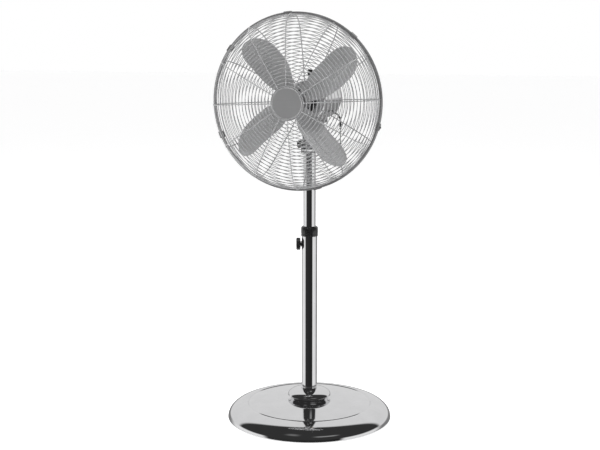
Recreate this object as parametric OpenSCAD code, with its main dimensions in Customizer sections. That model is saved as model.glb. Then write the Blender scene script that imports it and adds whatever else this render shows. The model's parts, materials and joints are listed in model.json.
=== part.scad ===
// Pedestal fan: round chrome base, telescopic pole, tilting and swinging head in a wire grille.
// Millimetres. Z is up, the origin is the bottom centre of the base, and the fan blows towards -Y.

/* [Base] */
// Overall diameter of the base
base_d = 416; // [400:2:440]
// Height of the widest line of the rim
base_rim_z = 4; // [3.5:0.5:10]
// Radius of the pressed groove on top of the base
groove_r = 159; // [145:1:170]
// Height of the base top at the groove
groove_z = 39; // [34:1:42]
// Rise of the domed centre above the groove
dome_rise = 12; // [8:0.5:16]
// Thickness of the pressed base shell
base_wall = 2.2; // [1.6:0.1:3]
// Diameter of the domed cover disc round the pole
cover_disc_d = 110; // [106:1:120]

/* [Pole] */
// Outside diameter of the fixed lower tube
lower_tube_d = 39; // [37:0.5:42]
// Outside diameter of the sliding upper tube
upper_tube_d = 30; // [28:0.5:31]
// Wall of both tubes
tube_wall = 1.5; // [1.2:0.1:2]
// Height of the top of the collar
collar_top_z = 495; // [450:1:540]
// Height of the lock knob axis
lock_z = 450; // [445:1:455]
// Heading of the lock knob round the pole, from the left of the fan towards its front
lock_heading = 20; // [0:5:60]

/* [Neck] */
// Height of the tilt hinge
tilt_z = 700; // [692:1:705]
// Width of the neck tongue between the cheeks of the bracket
tongue_w = 30; // [28:1:32]

/* [Head] */
// Height of the fan axis
fan_z = 809; // [807:1:814]
// Distance of the grille rim in front of the pole axis
rim_ahead = 100; // [95:1:105]
// Diameter of the motor casing
motor_d = 100; // [98:1:104]
// Distance of the motor front face in front of the pole axis
motor_front = 32; // [30:1:34]
// Distance of the motor back behind the pole axis
motor_back = 126; // [120:1:130]
// Offset of the link post from the swivel axis
link_post_r = 18; // [17:0.5:19]
// Throw of the oscillation crank
crank_throw = 12; // [10:0.5:13]

/* [Grille] */
// Radius of the grille wire path at the rim
rim_r = 206.5; // [200:0.5:210]
// Depth of the front grille from the rim to its centre
front_depth = 65; // [62:1:74]
// Depth of the rear grille from the rim to its centre
rear_depth = 67; // [65:1:67.5]
// Number of ring wires on each grille
ring_count = 22; // [16:1:26]
// Number of radial wires on each grille
spoke_count = 12; // [8:1:16]
// Diameter of the ring wires
ring_wire_d = 2; // [1.6:0.1:2.4]
// Diameter of the radial wires
spoke_wire_d = 2.6; // [2:0.1:3]
// Diameter of the two thick rim wires
rim_wire_d = 6; // [5:0.2:6.4]

/* [Blades] */
// Radius of the blade tips
blade_tip_r = 189; // [175:1:192]
// Widest half-width of a blade
blade_half_w = 39; // [32:1:42]
// Pitch angle of the blades
blade_pitch = 26; // [15:1:30]
// Heading of the first blade, anticlockwise from the right as seen from the front
blade_heading = 36; // [0:1:89]

/* [Hidden] */
// Running clearance of a shaft in its bore, on the radius
run_fit = 0.05;
// Air gap between bodies that pass each other
gap = 0.3;

// Base and pole stack
base_r = base_d / 2;
seat_r = 48;
seat_z = dome_z(seat_r);
foot_h = 5;
weight_top = 16;
bolt_circle = 33;
socket_h = 3;
plug_top = seat_z + 20;
lower_r = lower_tube_d / 2;
lower_in = lower_r - tube_wall;
upper_r = upper_tube_d / 2;
upper_in = upper_r - tube_wall;
lower_top = collar_top_z - 10;
bush_bottom = lower_top - 52;
upper_bottom = 235;
upper_top = tilt_z - 20;

// Neck and swivel stack
cheek_w = 3.2;
cheek_r = 13;
cheek_in = tongue_w / 2 + gap;
cheek_out = cheek_in + cheek_w;
bracket_floor = tilt_z - 16;
tilt_bolt_r = 4;
neck_top = 742.5;
neck_flange_r = 22.5;
washer_top = neck_top + 1.5;
pin_r = 4.5;
link_bottom = washer_top + 0.5;
link_top = link_bottom + 2.5;
chin_bottom = link_top + 3;
chin_r = 22;
chin_back = 72;
cavity_top = chin_bottom + 5.5;
crank_y = 64;
spindle_x = 13;
spindle_y = 82;

// Motor stack, measured forward from the pole axis
motor_r = motor_d / 2;
motor_wall = 2;
seam = -10;
round_start = -96;
flat_r = 24;
shaft_r = 4;
bearing_r = 11;
bearing_w = 7;
front_bearing_at = 34;
rear_bearing_at = -69;
boss_top = motor_front + 11;
screw_behind = 14;
screw_r = 1.5;
blade_plane = rim_ahead + 6;
blade_t = 1.2;
shaft_tip = 118;

// Clutch knob on top of the motor
clutch_y = 6;

// Pull switch
pull_x = 30;
pull_y = 88;
pull_z = 774;
pull_bend_r = 22;
pull_heading = 35;
pull_tube_r = 2.2;
pull_line_x = pull_x + pull_bend_r * cos(pull_heading);
pull_line_y = pull_y + pull_bend_r * sin(pull_heading);
sleeve_top = pull_z - pull_bend_r;
sleeve_bottom = sleeve_top - 15;
// Route of the pull cord, from inside the sleeve down to the bead
pull_route = [[pull_line_x, pull_line_y, sleeve_top - 1], [pull_line_x, pull_line_y, 697]];
pull_cord_r = 1.1;

// Angles of the rim clips, anticlockwise from the right as seen from the front
clip_angles = [95.5, 48, -15, -75, 203, 143];

// ---------------------------------------------------------------- shared shapes

// Height of the domed base top at radius r
function dome_z(r) = groove_z + dome_rise * (1 - pow(r / groove_r, 2));

// Points along an elliptical arc
function arc(c, rx, ry, from, to, steps = 16) =
    [for (i = [0:steps]) let (a = from + (to - from) * i / steps) c + [rx * cos(a), ry * sin(a)]];

// A ring with its lower face at z
module ring(outer, inner, z, h, fn = 64) {
    translate([0, 0, z]) rotate_extrude($fn = fn) translate([inner, 0]) square([outer - inner, h]);
}

// A solid disc with its lower face at z
module disc(r, z, h, fn = 64) {
    translate([0, 0, z]) cylinder(r = r, h = h, $fn = fn);
}

// Children drawn in fan axes: local Z points forward, local Y up, local X to the right
module on_fan_axis() {
    translate([0, 0, fan_z]) rotate([90, 0, 0]) children();
}

// Children drawn along the lock knob axis: local Z points away from the pole
module on_lock_axis() {
    translate([0, 0, lock_z]) rotate([0, 0, lock_heading]) rotate([0, -90, 0]) children();
}

// Children drawn along the tilt hinge: local Z points to the left of the fan
module on_tilt_axis() {
    translate([0, 0, tilt_z]) rotate([0, -90, 0]) children();
}

// Lobed hand knob on its own axis
module lobed_knob(r, h, lobes) {
    linear_extrude(h) polygon([for (i = [0:lobes * 8 - 1])
        let (a = i * 45 / lobes) r * (0.93 + 0.07 * cos(lobes * a)) * [cos(a), sin(a)]]);
}

// Hexagonal nut or bolt head across flats
module hexagon(across, h) {
    cylinder(d = across / cos(30), h = h, $fn = 6);
}

// Flat gear with shallow square teeth
module gear(tip_r, tooth_h, teeth, h) {
    linear_extrude(h) polygon([for (i = [0:teeth - 1], k = [0:3])
        let (a = (i + [0, 0.45, 0.5, 0.95][k]) * 360 / teeth, r = k < 2 ? tip_r : tip_r - tooth_h)
        [r * cos(a), r * sin(a)]]);
}

// Outline with two round ends of radius r, centred at the origin and at distance length along Y
module capsule(r, length) {
    polygon(concat(arc([0, 0], r, r, 180, 360), arc([0, length], r, r, 0, 180)));
}

// ---------------------------------------------------------------- stand

module base_foot_ring() {
    color("dimgray") ring(base_r - 14, base_r - 32, 0, foot_h, 96);
}

module base_weight() {
    color("slategray") difference() {
        union() {
            disc(base_r - 22, foot_h, weight_top - foot_h, 96);
            disc(seat_r, foot_h, seat_z - base_wall - foot_h);
        }
        for (a = [0:120:240]) rotate([0, 0, a]) translate([bolt_circle, 0, 0]) {
            disc(3.2, 0, 60, 24);
            disc(7, 0, foot_h + 7, 24);
        }
        disc(13, 0, 60, 48);
    }
}

module base_shell() {
    w = base_wall;
    band_w = base_r - groove_r;
    band_h = groove_z - base_rim_z;
    rim_x = base_r - 6;
    outer = concat([[0, seat_z]], [for (r = [seat_r : 14 : groove_r - 4]) [r, dome_z(r)]],
        arc([groove_r, base_rim_z], band_w, band_h, 90, 0, 20),
        arc([rim_x, base_rim_z], 6, base_rim_z - 2, 0, -90, 8));
    inner = concat(arc([rim_x - w, base_rim_z], 6, base_rim_z - 2, -90, 0, 8),
        arc([groove_r, base_rim_z], band_w - w, band_h - w, 0, 90, 20),
        [for (r = [groove_r - 8 : -14 : seat_r + 8]) [r, dome_z(r) - w]],
        [[seat_r, seat_z - w], [0, seat_z - w]]);
    color("gainsboro") difference() {
        rotate_extrude($fn = 120) polygon(concat(outer, inner));
        translate([0, 0, groove_z + 1.2]) rotate_extrude($fn = 120) translate([groove_r, 0])
            circle(r = 2, $fn = 20);
        disc(13, seat_z - 5, 10, 48);
        for (a = [0:120:240]) rotate([0, 0, a]) translate([bolt_circle, 0, 0]) disc(3.2, seat_z - 5, 10, 24);
    }
}

module pole_socket() {
    color("silver") difference() {
        union() {
            disc(44, seat_z, socket_h);
            disc(lower_in, seat_z, plug_top - seat_z);
        }
        disc(13, seat_z - 1, 80, 48);
        for (a = [0:120:240]) rotate([0, 0, a]) translate([bolt_circle, 0, 0]) disc(3.2, seat_z - 1, 10, 24);
    }
}

module socket_bolts() {
    color("silver") for (a = [0:120:240]) rotate([0, 0, a]) translate([bolt_circle, 0, 0]) {
        disc(3, foot_h + 1, seat_z + socket_h - foot_h - 1, 24);
        translate([0, 0, seat_z + socket_h]) hexagon(10, 4);
    }
}

module socket_nuts() {
    color("silver") for (a = [0:120:240]) rotate([0, 0, a]) translate([bolt_circle, 0, 0]) difference() {
        translate([0, 0, foot_h + 2]) hexagon(10, 5);
        disc(3, foot_h + 1, 8, 24);
    }
}

module base_cover_disc() {
    edge = cover_disc_d / 2;
    inside = lower_r + gap;
    edge_z = seat_z + 9.5;
    rise = 16;
    wall = 1.4;
    outer = concat([[seat_r, seat_z]], arc([inside, edge_z], edge - inside, rise, 0, 90, 20));
    inner = arc([inside, edge_z], edge - inside - wall, rise - wall, 90, 0, 20);
    color("gainsboro") rotate_extrude($fn = 96) polygon(concat(outer, inner, [[seat_r - wall, seat_z]]));
}

module lower_tube() {
    color("gainsboro") difference() {
        ring(lower_r, lower_in, seat_z + socket_h, lower_top - seat_z - socket_h);
        on_lock_axis() cylinder(r = 4.2, h = lower_r + 2, $fn = 32);
    }
}

module lock_boss() {
    color("silver") difference() {
        on_lock_axis() translate([0, 0, lower_r - 2]) cylinder(r = 7, h = 5, $fn = 48);
        disc(lower_r, lock_z - 20, 40);
        on_lock_axis() cylinder(r = 4 + run_fit, h = 40, $fn = 32);
    }
}

module collar_bush() {
    color("ivory") difference() {
        ring(lower_in, upper_r + run_fit, bush_bottom, lower_top - bush_bottom);
        on_lock_axis() cylinder(r = 4.2, h = 30, $fn = 32);
    }
}

module pole_collar() {
    r = lower_r + 1.6;
    lip = upper_r + gap;
    skirt_z = collar_top_z - 24.5;
    color("black") rotate_extrude($fn = 64) polygon([
        [lower_r, skirt_z], [r, skirt_z], [r, collar_top_z - 3],
        [r - 2.5, collar_top_z], [lip, collar_top_z], [lip, lower_top], [lower_r, lower_top]]);
}

// ---------------------------------------------------------------- height lock

module height_knob() {
    color("black") on_lock_axis() difference() {
        translate([0, 0, lower_r + 3.3]) lobed_knob(15.5, 10.5, 6);
        cylinder(r = 4, h = lower_r + 11, $fn = 32);
    }
}

module height_knob_screw() {
    color("silver") on_lock_axis() translate([0, 0, upper_r + gap])
        cylinder(r = 4, h = lower_r + 11 - upper_r - gap, $fn = 32);
}

// ---------------------------------------------------------------- sliding column

module upper_tube() {
    color("gainsboro") ring(upper_r, upper_in, upper_bottom, upper_top - upper_bottom);
}

module tube_glide() {
    color("ivory") difference() {
        union() {
            disc(lower_in - 0.08, upper_bottom - 12, 12);
            disc(upper_in, upper_bottom, 13);
        }
        disc(9, upper_bottom - 13, 30, 48);
    }
}

module tilt_bracket() {
    foot = bracket_floor - tilt_z - 4;
    side = concat([[cheek_r, foot]], arc([0, 0], cheek_r, cheek_r, 0, 180), [[-cheek_r, foot]]);
    color("gainsboro") difference() {
        union() {
            disc(upper_in, upper_top - 30, 31);
            translate([-cheek_out, -cheek_r, bracket_floor - 4]) cube([cheek_out * 2, cheek_r * 2, 4]);
            for (x = [-cheek_out, cheek_in]) translate([x, 0, tilt_z]) rotate([90, 0, 90])
                linear_extrude(cheek_w) polygon(side);
        }
        on_tilt_axis() translate([0, 0, -30]) cylinder(r = tilt_bolt_r + 0.02, h = 60, $fn = 48);
    }
}

module tilt_bolt() {
    color("silver") on_tilt_axis() {
        translate([0, 0, -cheek_out - 5]) cylinder(r = tilt_bolt_r, h = cheek_out * 2 + 14, $fn = 48);
    }
}

module tilt_nut() {
    color("silver") on_tilt_axis() difference() {
        translate([0, 0, -cheek_out - 4.5]) hexagon(13, 4.5);
        translate([0, 0, -40]) cylinder(r = tilt_bolt_r, h = 40, $fn = 48);
    }
}

module tilt_knob() {
    color("black") on_tilt_axis() difference() {
        translate([0, 0, cheek_out + gap]) {
            cylinder(r = 6.5, h = 12, $fn = 48);
            translate([0, 0, 2.5]) lobed_knob(10, 9.5, 5);
        }
        cylinder(r = tilt_bolt_r + run_fit, h = cheek_out + 9.5, $fn = 48);
    }
}

// ---------------------------------------------------------------- tilting neck

module neck_block() {
    top = neck_top - 7 - tilt_z;
    side = concat(arc([0, 0], 12.5, 12.5, 180, 360, 24), [[12.5, top], [-12.5, top]]);
    color("gainsboro") difference() {
        union() {
            translate([-tongue_w / 2, 0, tilt_z]) rotate([90, 0, 90])
                linear_extrude(tongue_w) polygon(side);
            disc(neck_flange_r, neck_top - 8, 8);
            disc(17, neck_top - 22, 15);
        }
        on_tilt_axis() translate([0, 0, -30]) cylinder(r = tilt_bolt_r + run_fit, h = 60, $fn = 48);
        disc(pin_r, neck_top - 14, 20, 48);
        translate([link_post_r, 0, 0]) disc(3, neck_top - 6, 10, 32);
    }
}

module swivel_pin() {
    color("silver") disc(pin_r, neck_top - 14, 27.5, 48);
}

module thrust_washer() {
    color("goldenrod") ring(9.5, pin_r, neck_top, 1.5, 48);
}

module link_post() {
    color("silver") translate([link_post_r, 0, 0]) disc(3, neck_top - 6, link_top + 2 - neck_top + 6, 32);
}

module link_clip() {
    color("dimgray") translate([link_post_r, 0, 0]) ring(5.5, 3, link_top + gap, 1, 32);
}

// ---------------------------------------------------------------- oscillation drive

module link_arm() {
    far = [crank_throw - link_post_r, crank_y];
    heading = atan2(far[0], far[1]);
    color("silver") translate([link_post_r, 0, link_bottom]) rotate([0, 0, -heading]) difference() {
        union() {
            linear_extrude(link_top - link_bottom) capsule(3.5, norm(far));
            cylinder(r = 5.5, h = link_top - link_bottom, $fn = 48);
            translate([0, norm(far), 0]) cylinder(r = 5.5, h = link_top - link_bottom, $fn = 48);
        }
        translate([0, 0, -1]) cylinder(r = 3 + run_fit, h = 6, $fn = 32);
        translate([0, norm(far), -1]) cylinder(r = 2.8, h = 6, $fn = 32);
    }
}

module crank_gear() {
    color("burlywood") translate([0, crank_y, 0]) {
        translate([0, 0, chin_bottom + 1]) gear(18.3, 0.8, 40, 3.5);
        disc(2.5, chin_bottom + 4.5, 3.5, 32);
        translate([crank_throw, 0, 0]) disc(2.5, link_top + gap, chin_bottom + 1 - link_top - gap, 32);
    }
}

module worm_spindle() {
    color("silver") translate([spindle_x, spindle_y, 0]) {
        disc(2.5, chin_bottom + 1, fan_z + 5 - chin_bottom - 1, 32);
        disc(2, fan_z + 5, 7, 32);
        translate([0, 0, chin_bottom + 1]) gear(3.6, 0.6, 8, 3.5);
    }
}

module worm_wheel() {
    color("burlywood") translate([spindle_x, spindle_y, fan_z - 4]) difference() {
        gear(8.7, 0.5, 40, 8);
        translate([0, 0, -1]) cylinder(r = 2.5, h = 10, $fn = 32);
    }
}

// Outside of the motor casing as one solid, along the fan axis
module motor_outside(inset = 0) {
    back = arc([flat_r, round_start], motor_r - flat_r - inset, motor_back + round_start - inset, 0, -90, 20);
    front = arc([motor_r - 10, motor_front - 10], 10 - inset, 10 - inset, 0, 90, 10);
    rotate_extrude($fn = 96) polygon(concat([[0, inset - motor_back]],
        [for (i = [0:len(back) - 1]) back[len(back) - 1 - i]], front, [[0, motor_front - inset]]));
}

module oscillator_case() {
    color("gainsboro") difference() {
        union() {
            difference() {
                translate([0, 0, chin_bottom]) linear_extrude(20) capsule(chin_r, chin_back);
                translate([0, 0, chin_bottom - 1]) linear_extrude(cavity_top - chin_bottom + 1) difference() {
                    capsule(chin_r - 1.5, chin_back);
                    circle(r = 12, $fn = 48);
                }
            }
            disc(7.5, washer_top + 0.1, 10, 48);
        }
        on_fan_axis() motor_outside();
        disc(pin_r + run_fit, washer_top - 1, 13, 48);
        translate([0, crank_y, 0]) disc(2.5 + run_fit, chin_bottom, 12, 32);
        translate([spindle_x, spindle_y, 0]) disc(5, chin_bottom, 20, 32);
    }
}

module spindle_bush() {
    color("goldenrod") translate([spindle_x, spindle_y, 0]) ring(5, 2.5 + run_fit, cavity_top, 10, 32);
}

module rear_bracket() {
    color("silver") difference() {
        union() {
            on_fan_axis() translate([0, 0, rear_bearing_at - 4]) difference() {
                union() {
                    cylinder(r = motor_r - motor_wall, h = 3, $fn = 64);
                    cylinder(r = 14, h = 11, $fn = 48);
                }
                translate([0, 0, 4]) cylinder(r = bearing_r, h = 10, $fn = 48);
                translate([0, 0, -1]) cylinder(r = 7, h = 14, $fn = 48);
            }
            translate([spindle_x - 6, spindle_y - 11, fan_z + 9]) cube([12, 17, 4]);
        }
        translate([spindle_x, spindle_y, 0]) disc(2 + run_fit, fan_z, 20, 32);
        translate([-9, 40, fan_z + 32]) cube([18, 40, 20]);
    }
}

// ---------------------------------------------------------------- motor

module motor_front_cover() {
    inner_r = motor_r - motor_wall;
    lip = inner_r - motor_wall;
    outside = concat([[lip, seam - 8], [inner_r, seam - 8], [inner_r, seam], [motor_r, seam]],
        arc([motor_r - 10, motor_front - 10], 10, 10, 0, 90, 10), [[20, motor_front], [20, boss_top]]);
    inside = concat([[0, boss_top], [0, motor_front - motor_wall]],
        arc([motor_r - 10, motor_front - 10], 8, 8, 90, 0, 10), [[inner_r, seam + 1], [lip, seam + 1]]);
    color("gainsboro") difference() {
        on_fan_axis() difference() {
            rotate_extrude($fn = 96) polygon(concat(outside, inside));
            translate([0, 0, 20]) cylinder(r = 7, h = 40, $fn = 48);
            translate([0, 0, 20]) cylinder(r = bearing_r, h = front_bearing_at + bearing_w - 20, $fn = 48);
        }
        translate([0, clutch_y, 0]) disc(3 + gap, fan_z + 30, 30, 32);
        casing_screw_set(screw_r + run_fit, 8, 2);
    }
}

module motor_rear_cover() {
    color("gainsboro") difference() {
        on_fan_axis() difference() {
            motor_outside();
            motor_outside(motor_wall);
            translate([0, 0, seam]) cylinder(r = motor_r + 5, h = 100, $fn = 48);
        }
        translate([spindle_x, spindle_y, 0]) disc(5, fan_z - 60, 25, 32);
        casing_screw_set(screw_r + run_fit, 8, 2);
        pull_hook(pull_tube_r + run_fit);
    }
}

// Radial cylinders at the four casing screws, from below to above the casing's surface
module casing_screw_set(r, below, above) {
    on_fan_axis() for (a = [45:90:315]) rotate([0, 0, a]) rotate([0, 90, 0])
        translate([screw_behind, 0, motor_r - below]) cylinder(r = r, h = below + above, $fn = 24);
}

module casing_screws() {
    color("silver") {
        casing_screw_set(screw_r, 6, 1.4);
        casing_screw_set(2 * screw_r, -0.02, 1.4);
    }
}

module stator_mount() {
    color("silver") on_fan_axis() ring(motor_r - motor_wall, 36, 8, 6);
}

module stator_core() {
    color("slategray") on_fan_axis() ring(36, 22.5, -30, 44);
}

module stator_windings() {
    color("peru") on_fan_axis() {
        ring(34, 24.5, 14.1, 9, 48);
        ring(34, 24.5, -39.1, 9, 48);
    }
}

module motor_bearings() {
    color("silver") on_fan_axis() {
        ring(bearing_r, shaft_r + 0.03, front_bearing_at, bearing_w, 48);
        ring(bearing_r, shaft_r + 0.03, rear_bearing_at, bearing_w, 48);
    }
}

// ---------------------------------------------------------------- grilles

// Radius of the large face arc that runs into the shoulder arc without a kink
function face_radius(depth, shoulder, side) =
    let (h = depth - side, a = rim_r - shoulder)
    (h * h + a * a - shoulder * shoulder) / (2 * (h - shoulder));

// Angle off the fan axis where the face arc meets the shoulder arc
function blend_angle(depth, shoulder, side) =
    asin((rim_r - shoulder) / (face_radius(depth, shoulder, side) - shoulder));

// Point [radius, depth] at fraction t of the way from the hub to the rim, lifted off the dome
function dome_point(t, hub, depth, shoulder, side, lift = 0) =
    let (fr = face_radius(depth, shoulder, side), bend = blend_angle(depth, shoulder, side),
        start = asin(hub / fr), face_len = fr * (bend - start) * PI / 180,
        side_len = shoulder * (90 - bend) * PI / 180, s = t * (face_len + side_len))
    s < face_len
        ? let (a = start + s / fr * 180 / PI) [0, depth - fr] + (fr + lift) * [sin(a), cos(a)]
        : let (a = bend + (s - face_len) / shoulder * 180 / PI)
            [rim_r - shoulder, side] + (shoulder + lift) * [sin(a), cos(a)];

// Domed wire grille: ring wires with radial wires welded on their outside
module wire_dome(hub, depth, shoulder, side, turn) {
    last = ring_count / (ring_count + 0.6);
    steps = 40;
    weld = 0.4;
    for (i = [0:ring_count]) rotate_extrude($fn = 72)
        translate(dome_point(last * i / ring_count, hub, depth, shoulder, side))
        circle(d = ring_wire_d, $fn = 8);
    under = [for (j = [0:steps]) dome_point(j / steps, hub, depth, shoulder, side, weld)];
    over = [for (j = [steps:-1:0]) dome_point(j / steps, hub, depth, shoulder, side, weld + spoke_wire_d)];
    for (k = [1:spoke_count]) rotate([0, 0, turn + 360 / spoke_count * k]) rotate([90, 0, 0])
        translate([0, 0, -spoke_wire_d / 2]) linear_extrude(spoke_wire_d) polygon(concat(under, over));
}

module rim_wire(side) {
    at = side * (rim_wire_d / 2 + 0.4);
    translate([0, 0, rim_ahead + at]) rotate_extrude($fn = 96)
        translate([rim_r + rim_wire_d / 2, 0]) circle(d = rim_wire_d, $fn = 24);
}

module front_grille() {
    color("silver") on_fan_axis() translate([0, 0, rim_ahead]) wire_dome(40, front_depth, 42, 6, 2.5);
}

module rear_grille() {
    color("silver") on_fan_axis() translate([0, 0, rim_ahead]) mirror([0, 0, 1])
        wire_dome(44, rear_depth, 45, 5, 2.5);
}

module front_rim_ring() {
    color("gainsboro") on_fan_axis() rim_wire(1);
}

module rear_rim_ring() {
    color("gainsboro") on_fan_axis() rim_wire(-1);
}

module rear_hub_plate() {
    color("silver") on_fan_axis() ring(45, 20 + run_fit, motor_front, 1.6);
}

module grille_nut() {
    color("dimgray") on_fan_axis() difference() {
        union() {
            translate([0, 0, motor_front + 1.6]) cylinder(r = 30, h = 4, $fn = 64);
            translate([0, 0, motor_front + 1.6]) lobed_knob(26, 9, 12);
        }
        translate([0, 0, motor_front]) cylinder(r = 20, h = 20, $fn = 64);
    }
}

module front_hub_plate() {
    color("silver") on_fan_axis() ring(41, 12, rim_ahead + front_depth - 3.2, 1.6);
}

module badge() {
    color("gray") on_fan_axis() translate([0, 0, rim_ahead + front_depth - 1.6]) rotate_extrude($fn = 64)
        polygon(concat([[0, 0], [35.5, 0]], arc([0, 2.5], 35.5, 3, 0, 90, 16)));
}

module badge_ring() {
    color("gainsboro") on_fan_axis() ring(38, 35.5, rim_ahead + front_depth - 1.6, 4);
}

module rim_clips() {
    hook = rim_wire_d + 0.9;
    top_r = rim_r + rim_wire_d;
    section = [[rim_r - 2, -hook - 1.5], [top_r + 1.6, -hook - 1.5], [top_r + 1.6, hook + 1.5],
        [rim_r - 2, hook + 1.5], [rim_r - 2, hook], [top_r + 0.1, hook], [top_r + 0.1, -hook],
        [rim_r - 2, -hook]];
    color("silver") on_fan_axis() translate([0, 0, rim_ahead])
        for (a = clip_angles) rotate([0, 0, a - 2.2])
            rotate_extrude(angle = 4.4, $fn = 180) polygon(section);
}

module clip_screw() {
    color("dimgray") on_fan_axis() translate([0, 0, rim_ahead]) rotate([0, 0, clip_angles[2]])
        rotate([0, 90, 0]) translate([0, 0, rim_r + rim_wire_d + 1.6]) cylinder(r = 3, h = 2.4, $fn = 24);
}

// ---------------------------------------------------------------- clutch and pull switch

module clutch_knob() {
    color("black") translate([0, clutch_y, 0]) {
        disc(3, fan_z + 39.5, 25, 32);
        disc(7.5, fan_z + motor_r + 8, 17, 48);
    }
}

module clutch_lever() {
    lever_z = fan_z + 38;
    color("silver") {
        translate([-5, clutch_y - 4, lever_z]) cube([10, spindle_y - clutch_y + 6, 1.5]);
        translate([4, spindle_y - 3, lever_z]) cube([spindle_x - 1.5, 5, 1.5]);
        translate([spindle_x, spindle_y, 0]) disc(2, fan_z + 14, 24.5, 32);
    }
}

// Quarter bend from the casing's wall down to the cord's line
module pull_hook(r) {
    translate([pull_x, pull_y, sleeve_top]) rotate([0, 0, pull_heading]) rotate([90, 0, 0])
        rotate_extrude(angle = 90, $fn = 64) translate([pull_bend_r, 0]) circle(r = r, $fn = 24);
}

module pull_cord_guide() {
    color("dimgray") difference() {
        union() {
            pull_hook(pull_tube_r);
            translate([pull_line_x, pull_line_y, 0]) disc(2.8, sleeve_bottom, 15, 32);
        }
        translate([pull_line_x, pull_line_y, 0]) disc(pull_cord_r + gap, sleeve_bottom - 1, 15.5, 24);
    }
}

module pull_cord() {
    top = pull_route[0];
    length = top[2] - pull_route[1][2];
    rings = 12;
    sides = 8;
    section = [for (k = [0:sides - 1]) pull_cord_r * [cos(k * 360 / sides), sin(k * 360 / sides), 0]];
    points = [for (i = [0:rings], k = [0:sides - 1]) top + section[k] - [0, 0, length * i / rings]];
    walls = [for (i = [0:rings - 1], k = [0:sides - 1]) let (n = (k + 1) % sides)
        [i * sides + k, i * sides + n, (i + 1) * sides + n, (i + 1) * sides + k]];
    first_cap = [for (k = [sides - 1:-1:0]) k];
    last_cap = [for (k = [0:sides - 1]) rings * sides + k];
    color("dimgray") polyhedron(points, concat(walls, [first_cap, last_cap]));
}

module pull_bead() {
    color("dimgray") translate([pull_line_x, pull_line_y, pull_route[1][2] - 4]) {
        translate([0, 0, -2]) cylinder(r1 = 2.4, r2 = 3.4, h = 3, $fn = 32);
        translate([0, 0, 1]) cylinder(r1 = 3.4, r2 = 1.6, h = 3, $fn = 32);
    }
}

// ---------------------------------------------------------------- rotor and blades

module motor_shaft() {
    color("silver") on_fan_axis() {
        translate([0, 0, -74]) cylinder(r = shaft_r, h = shaft_tip + 74, $fn = 48);
        translate([0, 0, -91]) cylinder(r = 2.5, h = 17, $fn = 32);
    }
}

module worm() {
    color("silver") on_fan_axis() difference() {
        union() {
            translate([0, 0, -90]) cylinder(r = 3.4, h = 16, $fn = 32);
            for (i = [1:6]) translate([0, 0, -91.2 + i * 2.4]) cylinder(r = 4, h = 1, $fn = 32);
        }
        translate([0, 0, -95]) cylinder(r = 2.5, h = 25, $fn = 32);
    }
}

module rotor_core() {
    color("slategray") on_fan_axis() ring(22, shaft_r, -30, 44);
}

module blade_spider() {
    color("silver") on_fan_axis() difference() {
        union() {
            translate([0, 0, blade_plane - 20]) cylinder(r = 13, h = 25, $fn = 48);
            translate([0, 0, blade_plane - 1.6]) cylinder(r = 24, h = 1.6, $fn = 64);
            for (k = [0:3]) rotate([0, 0, blade_heading + 90 * k]) translate([0, -10, blade_plane - 1.6])
                cube([54, 20, 1.6]);
        }
        cylinder(r = shaft_r, h = 200, $fn = 48);
    }
}

// Half-width of a blade at fraction t of its length, round at the tip
function blade_width(t) =
    (15 + (blade_half_w - 15) * sin(90 * min(t / 0.55, 1)))
    * sqrt(max(0, 1 - pow(max(0, (t - 0.68) / 0.32), 2.4)));

// Smooth step from 0 to 1
function ease(t) = let (c = min(max(t, 0), 1)) c * c * (3 - 2 * c);

// Point on the middle surface of a blade: t along its length, c across it from -1 to 1
function blade_point(t, c) =
    let (r = 26 + (blade_tip_r - 26) * t, w = blade_width(t), pitch = blade_pitch * ease((r - 54) / 50),
        sweep = 7 * pow(t, 2) - 2, across = c * w,
        camber = 0.12 * w * (1 - c * c) * ease((r - 54) / 50))
    let (v = across * cos(pitch), a = sweep + v / r * 180 / PI)
    [r * cos(a), r * sin(a), across * sin(pitch) + camber];

// One pressed blade, as a closed grid of two skins
module blade() {
    rows = 24;
    cols = 8;
    t_of = [for (i = [0:rows]) 0.995 * sin(90 * i / rows)];
    skin = [for (h = [0, blade_t], i = [0:rows], j = [0:cols])
        blade_point(t_of[i], 2 * j / cols - 1) + [0, 0, h]];
    low = 0;
    high = (rows + 1) * (cols + 1);
    function at(h, i, j) = h + i * (cols + 1) + j;
    quads = concat(
        [for (i = [0:rows - 1], j = [0:cols - 1])
            [at(high, i, j), at(high, i, j + 1), at(high, i + 1, j + 1), at(high, i + 1, j)]],
        [for (i = [0:rows - 1], j = [0:cols - 1])
            [at(low, i, j), at(low, i + 1, j), at(low, i + 1, j + 1), at(low, i, j + 1)]],
        [for (i = [0:rows - 1]) [at(low, i, 0), at(high, i, 0), at(high, i + 1, 0), at(low, i + 1, 0)]],
        [for (i = [0:rows - 1])
            [at(low, i, cols), at(low, i + 1, cols), at(high, i + 1, cols), at(high, i, cols)]],
        [for (j = [0:cols - 1]) [at(low, 0, j), at(low, 0, j + 1), at(high, 0, j + 1), at(high, 0, j)]],
        [for (j = [0:cols - 1])
            [at(low, rows, j), at(high, rows, j), at(high, rows, j + 1), at(low, rows, j + 1)]]);
    polyhedron(skin, [for (q = quads, s = [0, 1]) s == 0 ? [q[0], q[1], q[2]] : [q[0], q[2], q[3]]]);
}

module fan_blades() {
    color("darkgray") on_fan_axis() translate([0, 0, blade_plane])
        for (k = [0:3]) rotate([0, 0, blade_heading + 90 * k]) blade();
}

module blade_rivets() {
    color("silver") on_fan_axis() for (k = [0:3]) rotate([0, 0, blade_heading + 90 * k])
        for (p = [[32, 0], [46, -6], [46, 6]]) translate([p[0], p[1], blade_plane + blade_t + 0.02])
            cylinder(r = 2.6, h = 1.2, $fn = 24);
}

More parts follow.
